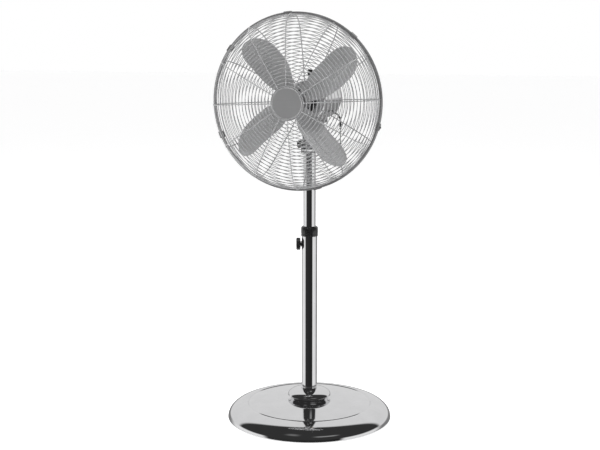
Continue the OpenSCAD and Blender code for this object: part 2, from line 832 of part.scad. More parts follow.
base_foot_ring();
base_weight();
base_shell();
pole_socket();
socket_bolts();
socket_nuts();
base_cover_disc();
lower_tube();
lock_boss();
collar_bush();
pole_collar();
height_knob();
height_knob_screw();
upper_tube();
tube_glide();
tilt_bracket();
tilt_bolt();
tilt_nut();
tilt_knob();
neck_block();
swivel_pin();
thrust_washer();
link_post();
link_clip();
link_arm();
crank_gear();
worm_spindle();
worm_wheel();
oscillator_case();
spindle_bush();
rear_bracket();
motor_front_cover();
motor_rear_cover();
casing_screws();
stator_mount();
stator_core();
stator_windings();
motor_bearings();
grille_nut();
rear_hub_plate();
rear_grille();
rear_rim_ring();
front_grille();
front_rim_ring();
front_hub_plate();
badge();
badge_ring();
rim_clips();
clip_screw();
clutch_knob();
clutch_lever();
pull_cord_guide();
pull_cord();
pull_bead();
motor_shaft();
worm();
rotor_core();
blade_spider();
fan_blades();
blade_rivets();
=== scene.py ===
"""Pedestal fan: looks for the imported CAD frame.

Shapes are in millimetres and turned to metres as they are built.
"""
import json
import math

import bmesh
import bpy
from mathutils import Matrix, Vector


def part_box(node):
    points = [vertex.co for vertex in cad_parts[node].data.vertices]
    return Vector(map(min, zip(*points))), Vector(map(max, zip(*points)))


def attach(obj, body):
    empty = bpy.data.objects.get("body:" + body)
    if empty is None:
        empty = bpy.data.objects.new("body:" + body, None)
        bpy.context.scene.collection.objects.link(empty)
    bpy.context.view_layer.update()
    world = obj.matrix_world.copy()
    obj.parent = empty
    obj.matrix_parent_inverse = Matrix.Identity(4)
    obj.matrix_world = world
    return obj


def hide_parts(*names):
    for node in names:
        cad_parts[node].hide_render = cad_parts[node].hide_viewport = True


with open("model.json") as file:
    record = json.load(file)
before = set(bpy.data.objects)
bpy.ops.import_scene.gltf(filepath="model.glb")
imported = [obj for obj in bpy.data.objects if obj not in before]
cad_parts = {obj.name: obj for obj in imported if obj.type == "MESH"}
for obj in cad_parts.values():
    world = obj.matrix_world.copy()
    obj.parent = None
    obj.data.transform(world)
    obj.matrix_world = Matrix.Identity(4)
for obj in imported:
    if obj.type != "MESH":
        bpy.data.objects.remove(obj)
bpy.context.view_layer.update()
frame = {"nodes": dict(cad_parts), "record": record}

MM = 0.001


# ------------------------------------------------------------------ places read from the frame

def low(node):
    """Lowest corner of a CAD node, in millimetres."""
    return Vector(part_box(node)[0]) / MM


def high(node):
    """Highest corner of a CAD node, in millimetres."""
    return Vector(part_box(node)[1]) / MM


def middle(node):
    return (low(node) + high(node)) / 2


FAN_Z = middle("front_rim_ring").z
RIM_WIRE_R = (high("front_rim_ring").y - low("front_rim_ring").y) / 2
RIM_OUT = high("front_rim_ring").x
RIM_AHEAD = -(high("front_rim_ring").y + low("rear_rim_ring").y) / 2
TILT_Z = 700
LOCK_Z = middle("lock_boss").z
LOCK_TURN = 20
BASE_R = high("base_shell").x
LOWER_R = high("lower_tube").x
UPPER_R = high("upper_tube").x
MOTOR_R = high("motor_rear_cover").x


def fan_point(x, y, z):
    """A point in fan axes (x right, y up, z forward of the pole axis) as a point in the row frame."""
    return (x, -z, FAN_Z + y)


def forward(p):
    return fan_point(*p)


def lock_point(p):
    """Local Z points out of the pole along the height knob's axis."""
    turn = math.radians(LOCK_TURN)
    x, y, z = p
    return (-z * math.cos(turn) - y * math.sin(turn), -z * math.sin(turn) + y * math.cos(turn), LOCK_Z + x)


def tilt_point(p):
    """Local Z points to the left of the fan along the tilt hinge."""
    x, y, z = p
    return (-z, y, TILT_Z + x)


# ------------------------------------------------------------------ mesh building

def make_piece(name, verts, faces, body, slot, material, node=None, place=None, smooth=35):
    """A mesh piece in millimetres that rides on a body and takes a material. The slot argument is not used.
    """
    if place:
        verts = [place(v) for v in verts]
    mesh = bpy.data.meshes.new(name)
    mesh.from_pydata([tuple(c * MM for c in v) for v in verts], [], faces)
    mesh.validate()
    mesh.update()
    obj = bpy.data.objects.new(name, mesh)
    bpy.context.scene.collection.objects.link(obj)
    fix_normals(mesh)
    shade(mesh, smooth)
    mesh.materials.append(material)
    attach(obj, body)
    if node:
        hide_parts(*([node] if isinstance(node, str) else node))
    return obj


def fix_normals(mesh):
    bm = bmesh.new()
    bm.from_mesh(mesh)
    bmesh.ops.recalc_face_normals(bm, faces=bm.faces)
    bm.to_mesh(mesh)
    bm.free()


def shade(mesh, angle):
    """Smooth shading with sharp edges above an angle in degrees."""
    mesh.polygons.foreach_set("use_smooth", [True] * len(mesh.polygons))
    mesh.set_sharp_from_angle(angle=math.radians(angle))


def ring_grid(rows, closed_rows, closed_cols):
    """Quads between rows of points that all have the same length."""
    n, m = len(rows), len(rows[0])
    faces = []
    for i in range(n if closed_rows else n - 1):
        for j in range(m if closed_cols else m - 1):
            a, b = i * m + j, i * m + (j + 1) % m
            c, d = ((i + 1) % n) * m + (j + 1) % m, ((i + 1) % n) * m + j
            faces.append((a, b, c, d))
    return [p for row in rows for p in row], faces


def lathe(profile, segments=96, closed=True, wobble=None):
    """Turns an outline of (radius, height) round Z, joined end to end if closed.

    wobble(radius, height, angle) may change the radius.
    """
    rows = []
    for k in range(segments):
        a = 2 * math.pi * k / segments
        row = []
        for r, z in profile:
            radius = wobble(r, z, a) if wobble else r
            row.append((radius * math.cos(a), radius * math.sin(a), z))
        rows.append(row)
    return ring_grid(rows, True, closed)


def sweep(path, radius, sides=10, closed=False, caps=True):
    """A round tube along a path of points."""
    pts = [Vector(p) for p in path]
    n = len(pts)
    tangents = []
    for i in range(n):
        ahead = pts[(i + 1) % n] if closed or i < n - 1 else pts[i]
        back = pts[i - 1] if closed or i > 0 else pts[i]
        tangents.append((ahead - back).normalized())
    first = Vector((0, 0, 1)) if abs(tangents[0].z) < 0.9 else Vector((1, 0, 0))
    side = tangents[0].cross(first).normalized()
    rows = []
    for i in range(n):
        side = (side - tangents[i] * side.dot(tangents[i])).normalized()
        up = tangents[i].cross(side)
        r = radius(i / (n - 1)) if callable(radius) else radius
        rows.append([tuple(pts[i] + (side * math.cos(a) + up * math.sin(a)) * r)
                     for a in (2 * math.pi * k / sides for k in range(sides))])
    verts, faces = ring_grid(rows, closed, True)
    if caps and not closed:
        faces.append(tuple(range(sides))[::-1])
        faces.append(tuple((n - 1) * sides + k for k in range(sides)))
    return verts, faces


def join(*parts):
    """Several (verts, faces) pairs as one."""
    verts, faces = [], []
    for v, f in parts:
        base = len(verts)
        verts += v
        faces += [tuple(i + base for i in face) for face in f]
    return verts, faces


def arc(cx, cy, rx, ry, start, end, steps=12):
    return [(cx + rx * math.cos(math.radians(start + (end - start) * i / steps)),
             cy + ry * math.sin(math.radians(start + (end - start) * i / steps))) for i in range(steps + 1)]


def rounded_box(profile_points, depth, bevel, place):
    """Flat outline in XY pushed through depth in Z, with a small bevel on both faces."""
    n = len(profile_points)
    cx = sum(p[0] for p in profile_points) / n
    cy = sum(p[1] for p in profile_points) / n

    def inset(p, d):
        v = Vector((p[0] - cx, p[1] - cy))
        return Vector((p[0], p[1])) - v.normalized() * d
    rows = []
    for z, d in ((0, bevel), (bevel, 0), (depth - bevel, 0), (depth, bevel)):
        rows.append([(*inset(p, d), z) for p in profile_points])
    verts, faces = ring_grid(rows, False, True)
    faces.append(tuple(range(n))[::-1])
    faces.append(tuple(3 * n + k for k in range(n)))
    return [place(v) for v in verts], faces


# ------------------------------------------------------------------ materials

def new_material(name):
    mat = bpy.data.materials.new(name)
    mat.use_nodes = True
    nodes = mat.node_tree.nodes
    nodes.clear()
    out = nodes.new("ShaderNodeOutputMaterial")
    bsdf = nodes.new("ShaderNodeBsdfPrincipled")
    mat.node_tree.links.new(bsdf.outputs["BSDF"], out.inputs["Surface"])
    return mat, nodes, mat.node_tree.links, bsdf


def object_noise(nodes, links, scale, detail=3, stretch=(1, 1, 1)):
    """Noise in the piece's own coordinates, in cycles per metre."""
    coord = nodes.new("ShaderNodeTexCoord")
    mapping = nodes.new("ShaderNodeMapping")
    mapping.inputs["Scale"].default_value = [scale * s for s in stretch]
    noise = nodes.new("ShaderNodeTexNoise")
    noise.inputs["Scale"].default_value = 1
    noise.inputs["Detail"].default_value = detail
    links.new(coord.outputs["Object"], mapping.inputs["Vector"])
    links.new(mapping.outputs["Vector"], noise.inputs["Vector"])
    return noise


def spread(nodes, links, source, low_value, high_value, start=0.3, end=0.7):
    """Maps a 0 to 1 texture to a range of values."""
    ramp = nodes.new("ShaderNodeMapRange")
    ramp.inputs["From Min"].default_value = start
    ramp.inputs["From Max"].default_value = end
    ramp.inputs["To Min"].default_value = low_value
    ramp.inputs["To Max"].default_value = high_value
    links.new(source, ramp.inputs["Value"])
    return ramp.outputs["Result"]


def blend_colour(nodes, links, source, dark, light):
    mix = nodes.new("ShaderNodeMix")
    mix.data_type = "RGBA"
    mix.inputs["A"].default_value = (*dark, 1)
    mix.inputs["B"].default_value = (*light, 1)
    links.new(source, mix.inputs["Factor"])
    return mix.outputs["Result"]


def add_bump(nodes, links, bsdf, height, strength, distance):
    bump = nodes.new("ShaderNodeBump")
    bump.inputs["Strength"].default_value = strength
    bump.inputs["Distance"].default_value = distance
    links.new(height, bump.inputs["Height"])
    links.new(bump.outputs["Normal"], bsdf.inputs["Normal"])


def chrome(name, tint, rough_low, rough_high, wave=0.06):
    """Plated metal: faint smudges in the gloss and a slow ripple in the surface."""
    mat, nodes, links, bsdf = new_material(name)
    bsdf.inputs["Metallic"].default_value = 1
    smudge = object_noise(nodes, links, 28, 5)
    grade = spread(nodes, links, smudge.outputs["Fac"], 0, 1)
    dark = tuple(c * 0.94 for c in tint)
    links.new(blend_colour(nodes, links, grade, dark, tint), bsdf.inputs["Base Color"])
    links.new(spread(nodes, links, smudge.outputs["Fac"], rough_low, rough_high), bsdf.inputs["Roughness"])
    ripple = object_noise(nodes, links, 9, 1)
    add_bump(nodes, links, bsdf, ripple.outputs["Fac"], wave, 0.0006)
    return mat


def satin_metal(name, dark, light, rough_low, rough_high, stretch=(1, 1, 1), grain=900, bump=0.12,
                metallic=1.0):
    """Brushed or pressed metal with a directional grain and slow colour drift."""
    mat, nodes, links, bsdf = new_material(name)
    bsdf.inputs["Metallic"].default_value = metallic
    drift = object_noise(nodes, links, 14, 4)
    links.new(blend_colour(nodes, links, spread(nodes, links, drift.outputs["Fac"], 0, 1), dark, light),
              bsdf.inputs["Base Color"])
    fine = object_noise(nodes, links, grain, 2, stretch)
    links.new(spread(nodes, links, fine.outputs["Fac"], rough_low, rough_high), bsdf.inputs["Roughness"])
    add_bump(nodes, links, bsdf, fine.outputs["Fac"], bump, 0.0001)
    return mat


def plastic(name, dark, light, rough_low, rough_high, grain=1400, bump=0.1, coat=0.0):
    """Moulded plastic or rubber with a fine spark-eroded grain and small scuffs."""
    mat, nodes, links, bsdf = new_material(name)
    scuff = object_noise(nodes, links, 60, 5)
    grade = spread(nodes, links, scuff.outputs["Fac"], 0, 1)
    links.new(blend_colour(nodes, links, grade, dark, light), bsdf.inputs["Base Color"])
    links.new(spread(nodes, links, scuff.outputs["Fac"], rough_low, rough_high), bsdf.inputs["Roughness"])
    bsdf.inputs["Coat Weight"].default_value = coat
    fine = object_noise(nodes, links, grain, 2)
    add_bump(nodes, links, bsdf, fine.outputs["Fac"], bump, 0.0001)
    return mat


def grey(value):
    return (value, value, value * 1.01)


MATERIALS = {
    "chrome": chrome("polished_chrome", grey(0.86), 0.03, 0.09),
    "wire_chrome": satin_metal("wire_chrome", grey(0.56), grey(0.66), 0.20, 0.30,
                               grain=700, bump=0.02, metallic=0.5),
    # A darker copy of the wire chrome for the rim wires and clips: its dark grey is a painted reflection
    # standing in for what the rims reflect.
    "rim_chrome_painted_reflection": satin_metal("rim_chrome_painted_reflection", grey(0.22), grey(0.29), 0.20, 0.30,
                              grain=700, bump=0.02, metallic=0.5),
    "dark_steel": satin_metal("dark_steel", grey(0.05), grey(0.09), 0.25, 0.40, bump=0.05, metallic=0.8),
    "blade_aluminium": satin_metal("blade_aluminium", grey(0.42), grey(0.48), 0.32, 0.44,
                                   stretch=(1, 1, 0.2), grain=600, bump=0.1, metallic=0.4),
    "badge_grey": satin_metal("badge_satin", grey(0.28), grey(0.31), 0.36, 0.46,
                              stretch=(0.1, 1, 1), grain=1500, bump=0.1, metallic=0.35),
    "black_plastic": plastic("black_plastic", grey(0.008), grey(0.02), 0.18, 0.32, bump=0.08, coat=0.3),
    "white_plastic": plastic("white_plastic", (0.70, 0.68, 0.62), (0.80, 0.78, 0.72), 0.4, 0.55),
    "gear_plastic": plastic("gear_plastic", (0.55, 0.46, 0.30), (0.66, 0.57, 0.40), 0.4, 0.55),
    "steel": satin_metal("zinc_steel", grey(0.46), grey(0.62), 0.22, 0.38, grain=1200),
    "core_steel": satin_metal("core_steel", grey(0.05), grey(0.09), 0.4, 0.6,
                              stretch=(1, 8, 1), grain=400, bump=0.4, metallic=0.6),
    "winding": satin_metal("winding", (0.30, 0.10, 0.03), (0.55, 0.24, 0.08), 0.25, 0.4,
                           stretch=(1, 6, 1), grain=500, bump=0.6, metallic=0.8),
    "ballast": plastic("cast_concrete", (0.30, 0.29, 0.27), (0.44, 0.43, 0.40), 0.8, 0.95,
                       grain=500, bump=0.6),
    "bronze": satin_metal("bronze", (0.40, 0.26, 0.10), (0.55, 0.38, 0.18), 0.3, 0.5),
    "rubber": plastic("rubber", grey(0.012), grey(0.03), 0.6, 0.85, grain=900, bump=0.35),
    "die_cast": satin_metal("die_cast", grey(0.40), grey(0.52), 0.35, 0.55, grain=800, bump=0.3),
}


def dress_cad_nodes():
    """Every CAD node gets the material of its slot, and soft edges."""
    slots = {s["node"]: s["material_slot"] for s in frame["record"]["subparts"]}
    for node, obj in frame["nodes"].items():
        obj.data.materials.clear()
        obj.data.materials.append(MATERIALS[slots[node]])
        shade(obj.data, 30)


# ------------------------------------------------------------------ stand

GROOVE_R = 159
GROOVE_Z = 39
GROOVE_W = 5
GROOVE_DEEP = 2
DOME_RISE = 12
RIM_Z = 4
FOOT_ROLL = 6
SEAT_R = 48
SEAT_HOLE_R = 13
SHELL_WALL = 2.2
SKIRT_RISE = 9.5
TUBE_WALL = 1.5


def dome_height(r):
    return GROOVE_Z + DOME_RISE * (1 - (r / GROOVE_R) ** 2)


def base_shell():
    """Pressed shell: flat seat, dome, rolled groove, rounded band and a turned-in foot."""
    seat, band_w, band_h = dome_height(SEAT_R), BASE_R - GROOVE_R, GROOVE_Z - RIM_Z
    outer = [(SEAT_HOLE_R, seat), (SEAT_R, seat)]
    outer += [(r, dome_height(r)) for r in range(SEAT_R + 6, GROOVE_R - GROOVE_W, 8)]
    for i in range(17):
        t = i / 16
        outer.append((GROOVE_R - GROOVE_W * (1 - t), GROOVE_Z - GROOVE_DEEP * math.sin(math.pi * t) ** 2))
    outer += arc(GROOVE_R, RIM_Z, band_w, band_h, 84, 0, 24)
    outer += arc(BASE_R - FOOT_ROLL, RIM_Z, FOOT_ROLL, RIM_Z - 2, -12, -90, 8)
    roll = arc(BASE_R - FOOT_ROLL, RIM_Z, FOOT_ROLL, RIM_Z - 2, -90, 0, 6)
    inner = [(r - SHELL_WALL, z) for r, z in roll]
    inner += arc(GROOVE_R, RIM_Z, band_w - SHELL_WALL, band_h - SHELL_WALL, 0, 90, 12)
    inner += [(r, dome_height(r) - SHELL_WALL) for r in (120, 80, SEAT_R)]
    inner += [(SEAT_HOLE_R, seat - SHELL_WALL)]
    make_piece("base_shell_skin", *lathe(outer + inner, 192), "stand", "chrome", MATERIALS["chrome"],
               "base_shell")


def cover_disc():
    """Spun cover round the pole: a flared skirt, a rolled edge and a low dome."""
    edge = high("base_cover_disc").x
    inside = LOWER_R + 0.3
    foot = dome_height(SEAT_R)
    rim = foot + SKIRT_RISE
    outer = [(SEAT_R, foot), (48.6, foot + 1.2), (50.0, foot + 3.6), (52.2, foot + 6.6), (53.8, rim - 1.4)]
    outer += arc(edge - 1.0, rim - 0.4, 1.0, 1.0, -60, 70, 8)
    outer += arc(inside, rim, edge - inside - 0.8, 16, 4, 90, 24)[1:]
    inner = arc(inside, rim, edge - inside - 1.8, 14.6, 90, 0, 12) + [(51, rim - 4), (46.8, foot)]
    make_piece("cover_disc_skin", *lathe(outer + inner, 128), "stand", "chrome", MATERIALS["chrome"],
               "base_cover_disc")


def tube(name, node, radius, roll, body):
    """Open tube with a rolled top edge. The rings near its ends keep the shading straight along it."""
    top, bottom = high(node).z, low(node).z
    outline = [(radius - TUBE_WALL, bottom), (radius, bottom), (radius, bottom + 2), (radius, top - 2),
               (radius, top - roll), (radius - 0.5, top), (radius - TUBE_WALL, top)]
    make_piece(name, *lathe(outline, 96), body, "chrome", MATERIALS["chrome"], node)


def collar():
    """Moulded collar with a thin groove near its foot and a rounded shoulder."""
    r, top, bottom = high("pole_collar").x, high("pole_collar").z, low("pole_collar").z
    lip = UPPER_R + 0.3
    outline = [(LOWER_R, bottom), (r - 0.4, bottom), (r, bottom + 0.5), (r, bottom + 4.2),
               (r - 0.5, bottom + 4.8), (r - 0.5, bottom + 5.6), (r, bottom + 6.2), (r, top - 3.4),
               (r - 0.3, top - 2.7), (r - 2.2, top - 0.4), (r - 2.8, top), (lip + 0.5, top),
               (lip, top - 0.5), (lip, top - 10), (LOWER_R, top - 10)]
    make_piece("collar_skin", *lathe(outline, 96), "stand", "black_plastic", MATERIALS["black_plastic"],
               "pole_collar")


def hand_knob(name, body, node, place, r, start, depth, lobes, bore):
    """Fluted knob with a rounded crown and a dished face."""
    def wobble(radius, z, a):
        if radius < r * 0.7:
            return radius
        flute = 0.5 + 0.5 * math.cos(lobes * a)
        return radius * (0.86 + 0.14 * flute ** 0.7)
    end = start + depth
    outline = [(bore, start), (r * 0.8, start), (r * 0.93, start + 0.5), (r, start + 1.6), (r, end - 2.6),
               (r * 0.97, end - 1.2), (r * 0.9, end - 0.3), (r * 0.8, end), (r * 0.62, end - 0.5),
               (r * 0.5, end - 1.0), (r * 0.2, end - 1.1), (0.01, end - 1.1), (0.01, end - 2.5),
               (bore, end - 2.5)]
    make_piece(name, *lathe(outline, 120, True, wobble), body, "black_plastic", MATERIALS["black_plastic"],
               node, place)


def knobs():
    """Height lock knob and tilt lock knob, with the tilt knob's short neck."""
    hand_knob("height_knob_skin", "height_lock", "height_knob", lock_point,
              r=15.5, start=LOWER_R + 3.3, depth=10.5, lobes=6, bore=4)
    foot, bore = 18.8, 4.05
    hand_knob("tilt_knob_skin", "tilt_lock", "tilt_knob", tilt_point,
              r=10, start=foot + 2.5, depth=9.5, lobes=5, bore=bore)
    neck = [(bore, foot), (6.2, foot), (6.5, foot + 0.3), (6.5, foot + 2.8), (bore, foot + 2.8)]
    make_piece("tilt_knob_neck", *lathe(neck, 48), "tilt_lock", "black_plastic",
               MATERIALS["black_plastic"], None, tilt_point)


# ------------------------------------------------------------------ neck

TONGUE_W = 30
CHEEK_IN = TONGUE_W / 2 + 0.3
CHEEK_W = 3.2
NECK_TOP = 742.5


def tilt_side(x):
    """Flat outlines across the hinge: outline (y, z above the hinge), depth along X from x."""
    return lambda p: (x + p[2], p[0], TILT_Z + p[1])


def tilt_bracket():
    """Fork of two round-topped cheeks on a foot that plugs into the upper tube."""
    foot, r = -16, 13
    side = [(r, foot - 3.5)] + arc(0, 0, r, r, 0, 180, 28) + [(-r, foot - 3.5)]
    half = CHEEK_IN + CHEEK_W
    plan = []
    for k, (sx, sy) in enumerate(((1, 1), (-1, 1), (-1, -1), (1, -1))):
        plan += arc(sx * (half - 3), sy * (r - 3), 3, 3, 90 * k, 90 * k + 90, 5)
    cheeks = [rounded_box(side, CHEEK_W, 0.5, tilt_side(x)) for x in (-half, CHEEK_IN)]
    block = rounded_box(plan, 4, 0.6, lambda p: (p[0], p[1], TILT_Z - 20 + p[2]))
    plug_r, plug_low, plug_high = UPPER_R - TUBE_WALL, TILT_Z - 50, TILT_Z - 19
    plug = lathe([(plug_r, plug_low), (plug_r, plug_high), (0.01, plug_high), (0.01, plug_low)], 48)
    make_piece("tilt_bracket_skin", *join(block, plug, *cheeks), "column", "chrome", MATERIALS["chrome"],
               "tilt_bracket", None, 30)


def neck_block():
    """Tongue in the fork, widening to the round flange that the head swivels on."""
    top = NECK_TOP - 7 - TILT_Z
    side = arc(0, 0, 12.5, 12.5, 180, 360, 28) + [(12.5, top), (-12.5, top)]
    tongue = rounded_box(side, TONGUE_W, 0.8, tilt_side(-TONGUE_W / 2))
    outline = [(4.5, -21.5), (15.4, -21.5), (16.6, -20.9), (17, -19.7), (17, -11.5), (18.2, -8.9),
               (20.6, -8), (21.9, -7.5), (22.5, -6.3), (22.5, -1.9), (21.9, -0.5), (20.8, 0), (4.5, 0)]
    flange = lathe([(r, NECK_TOP + z) for r, z in outline], 96)
    make_piece("neck_block_skin", *join(tongue, flange), "neck", "chrome", MATERIALS["chrome"],
               "neck_block", None, 30)


def capsule(r, length, steps=24):
    """Outline with a round end at the origin and one at length along Y."""
    return arc(0, length, r, r, 0, 180, steps) + arc(0, 0, r, r, 180, 360, steps)


def screw_head(r, height, place):
    """Pan head with a cross recess, axis along local Z."""
    rings = [(r, 0), (r, height * 0.45), (r * 0.86, height * 0.8), (r * 0.6, height * 0.97),
             (r * 0.34, height), (r * 0.3, height * 0.6), (0.01, height * 0.5)]

    def cross(radius, z, a):
        return radius * (0.62 + 0.38 * abs(math.cos(2 * a)) ** 3) if radius < r * 0.4 else radius
    verts, faces = lathe(rings, 48, False, cross)
    return [place(v) for v in verts], faces


def chin():
    """Die-cast oscillator housing under the motor: a skirt with a rolled lower edge, open below."""
    z, top, ceiling, length = NECK_TOP + 7.5, NECK_TOP + 27.5, NECK_TOP + 13, 72
    skirt = [(22, top), (22, z + 4.5), (21.85, z + 2.2), (21.2, z + 0.6), (20.9, z), (20.5, z),
             (20.5, ceiling)]
    rows = [[(x, y, at) for x, y in capsule(r, length)] for r, at in skirt]
    verts, faces = ring_grid(rows, False, True)
    n = len(rows[0])
    faces += [tuple(range(n)), tuple((len(skirt) - 1) * n + k for k in range(n))[::-1]]
    boss = lathe([(4.6, z - 5.9), (6.9, z - 5.9), (7.5, z - 5.3), (7.5, z + 6), (4.6, z + 6)], 64)
    make_piece("chin_skin", *join((verts, faces), boss), "head", "chrome", MATERIALS["chrome"],
               "oscillator_case", None, 30)
    screws = [screw_head(2.4, 1.5, lambda p, y=y, s=s: (s * (21.9 + p[2]), y + p[0], z + 7.5 + p[1]))
              for y in (8, 60) for s in (-1, 1)]
    make_piece("chin_screws", *join(*screws), "head", "black_plastic", MATERIALS["black_plastic"])


# ------------------------------------------------------------------ grilles

WIRE_PATH_R = RIM_OUT - 2 * RIM_WIRE_R
RING_COUNT = 22
SPOKE_COUNT = 12
RING_R = 1.0
SPOKE_R = 1.3
SPOKE_TURN = 2.5
SPOKE_STEPS = 32
CLIP_ANGLES = (95.5, 48, -15, -75, 203, 143)
CLIP_HALF = 2.2
FRONT_DOME = dict(hub=40, depth=65, shoulder=42, side=6)
REAR_DOME = dict(hub=44, depth=67, shoulder=45, side=5)


def dome_point(t, hub, depth, shoulder, side, lift=0.0):
    """Point (radius, depth) at fraction t from the hub to the rim: a face arc, then a shoulder arc."""
    h, a = depth - side, WIRE_PATH_R - shoulder
    face_r = (h * h + a * a - shoulder * shoulder) / (2 * (h - shoulder))
    bend = math.asin(a / (face_r - shoulder))
    start = math.asin(hub / face_r)
    face_len = face_r * (bend - start)
    side_len = shoulder * (math.pi / 2 - bend)
    s = t * (face_len + side_len)
    if s < face_len:
        angle = start + s / face_r
        return ((face_r + lift) * math.sin(angle), depth - face_r + (face_r + lift) * math.cos(angle))
    angle = bend + (s - face_len) / shoulder
    return (a + (shoulder + lift) * math.sin(angle), side + (shoulder + lift) * math.cos(angle))


def circle_path(r, z, steps=144):
    turns = (2 * math.pi * k / steps for k in range(steps))
    return [(r * math.cos(a), r * math.sin(a), z) for a in turns]


def wire_grille(name, dome, way, node):
    """Ring wires with radial wires welded on their outside. way is 1 for the front and -1 for the rear."""
    parts = []
    last = RING_COUNT / (RING_COUNT + 0.6)
    for i in range(RING_COUNT + 1):
        r, s = dome_point(last * i / RING_COUNT, **dome)
        parts.append(sweep(circle_path(r, RIM_AHEAD + way * s), RING_R, 8, closed=True))
    for k in range(SPOKE_COUNT):
        a = math.radians(SPOKE_TURN + 360 / SPOKE_COUNT * k)
        path = []
        for j in range(SPOKE_STEPS + 1):
            r, s = dome_point(j / SPOKE_STEPS, lift=0.6 + SPOKE_R, **dome)
            path.append((r * math.cos(a), r * math.sin(a), RIM_AHEAD + way * s))
        parts.append(sweep(path, SPOKE_R, 8))
    make_piece(name, *join(*parts), "head", "wire_chrome", MATERIALS["wire_chrome"], node, forward, 50)


def rim_rings():
    r = RIM_OUT - RIM_WIRE_R
    for name, node in (("front_rim_skin", "front_rim_ring"), ("rear_rim_skin", "rear_rim_ring")):
        z = -middle(node).y
        # The rim wires take the darker copy of the wire chrome, whose grey is a painted reflection.
        make_piece(name, *sweep(circle_path(r, z, 192), RIM_WIRE_R, 16, closed=True), "head", "wire_chrome",
                   MATERIALS["rim_chrome_painted_reflection"], node, forward, 60)


def rim_clips():
    """Spring clips that grip both rim wires: a bowed back with two hooked jaws."""
    jaw = 2 * RIM_WIRE_R + 0.9
    top = RIM_OUT
    section = [(top - 7.5, jaw), (top - 7.5, jaw + 1.4), (top - 1, jaw + 1.5), (top + 0.9, jaw + 0.8),
               (top + 1.6, jaw - 0.8), (top + 1.6, -jaw + 0.8), (top + 0.9, -jaw - 0.8),
               (top - 1, -jaw - 1.5), (top - 7.5, -jaw - 1.4), (top - 7.5, -jaw), (top - 0.5, -jaw),
               (top + 0.1, -jaw + 0.8), (top + 0.1, jaw - 0.8), (top - 0.5, jaw)]
    parts = []
    for a in CLIP_ANGLES:
        rows = []
        for i in range(9):
            t = math.radians(a - CLIP_HALF + 2 * CLIP_HALF * i / 8)
            rows.append([(r * math.cos(t), r * math.sin(t), RIM_AHEAD + z) for r, z in section])
        verts, faces = ring_grid(rows, False, True)
        n = len(section)
        faces += [tuple(range(n))[::-1], tuple(8 * n + k for k in range(n))]
        parts.append((verts, faces))
    # The clips take the same darker wire chrome, with its painted reflection.
    make_piece("rim_clip_set", *join(*parts), "head", "wire_chrome", MATERIALS["rim_chrome_painted_reflection"],
               "rim_clips", forward)


BADGE_R = 35.4
BADGE_EDGE = 2.5
BADGE_BAND_HALF = 8.5
BADGE_BAND_DEEP = 0.3


def badge():
    """Plain satin disc with a raised rim and a shallow band across it."""
    face = -low("badge").y
    back = -high("badge").y
    rings, sides = 28, 96
    verts, faces = [], []
    for i in range(rings + 1):
        r = BADGE_R * i / rings
        for k in range(sides):
            a = 2 * math.pi * k / sides
            x, y = r * math.cos(a), r * math.sin(a)
            crown = (face - back - BADGE_EDGE) * math.sqrt(max(0.0, 1 - (r / (BADGE_R + 2)) ** 2))
            band = BADGE_BAND_DEEP * ease((BADGE_BAND_HALF - abs(y)) / 1.2)
            verts.append((x, y, back + BADGE_EDGE + crown - band))
    for i in range(rings):
        for k in range(sides):
            a, b = i * sides + k, i * sides + (k + 1) % sides
            faces.append((a, b, b + sides, a + sides))
    last = rings * sides
    base = len(verts)
    verts += circle_path(BADGE_R, back, sides)
    faces += [(last + k, last + (k + 1) % sides, base + (k + 1) % sides, base + k) for k in range(sides)]
    make_piece("badge_face", verts, faces, "head", "badge_grey", MATERIALS["badge_grey"], "badge",
               forward, 40)
    out = high("badge_ring").x
    z0, z1 = -high("badge_ring").y, -low("badge_ring").y
    crest = arc((BADGE_R + out) / 2, z1 - 1.2, (out - BADGE_R) / 2, 1.2, 0, 180, 10)
    make_piece("badge_rim", *lathe([(BADGE_R, z0), (out, z0)] + crest, 96), "head", "chrome",
               MATERIALS["wire_chrome"], "badge_ring", forward)


# ------------------------------------------------------------------ blades

BLADE_TIP = 189
BLADE_ROOT = 26
BLADE_COUNT = 4
BLADE_HALF = 39
BLADE_ROOT_HALF = 15
BLADE_FLAT_R = 54
BLADE_TWIST_LENGTH = 50
BLADE_CAMBER = 0.12
BLADE_SWEEP = 7
BLADE_LAG = 2
BLADE_PITCH = 26
BLADE_HEADING = 36
BLADE_T = 1.2
BLADE_PLANE = RIM_AHEAD + 6
BLADE_RIBS = ((-13, 2.0, 2.0), (9, -1.7, 2.2))
RIVET_PLACES = ((32, 0), (46, -6), (46, 6))


def ease(t):
    t = min(max(t, 0.0), 1.0)
    return t * t * (3 - 2 * t)


def blade_width(t):
    tip = math.sqrt(max(0.0, 1 - max(0.0, (t - 0.68) / 0.32) ** 2.4))
    widening = (BLADE_HALF - BLADE_ROOT_HALF) * math.sin(math.pi / 2 * min(t / 0.55, 1))
    return (BLADE_ROOT_HALF + widening) * tip


def ridge(x, centre, width):
    return math.exp(-((x - centre) / width) ** 2)


def blade_point(t, c):
    """Middle surface of a blade, t along its length and c across it from -1 to 1, with its pressed ribs."""
    r = BLADE_ROOT + (BLADE_TIP - BLADE_ROOT) * t
    w = blade_width(t)
    twist = ease((r - BLADE_FLAT_R) / BLADE_TWIST_LENGTH)
    pitch = math.radians(BLADE_PITCH * twist)
    across = c * w
    pressed = sum(height * ridge(across, at, width) for at, height, width in BLADE_RIBS)
    rib = twist * (1 - ease((t - 0.8) / 0.15)) * pressed
    lift = BLADE_CAMBER * w * (1 - c * c) * twist + rib
    v = across * math.cos(pitch)
    a = math.radians(BLADE_SWEEP * t * t - BLADE_LAG) + v / r
    return (r * math.cos(a), r * math.sin(a), across * math.sin(pitch) + lift)


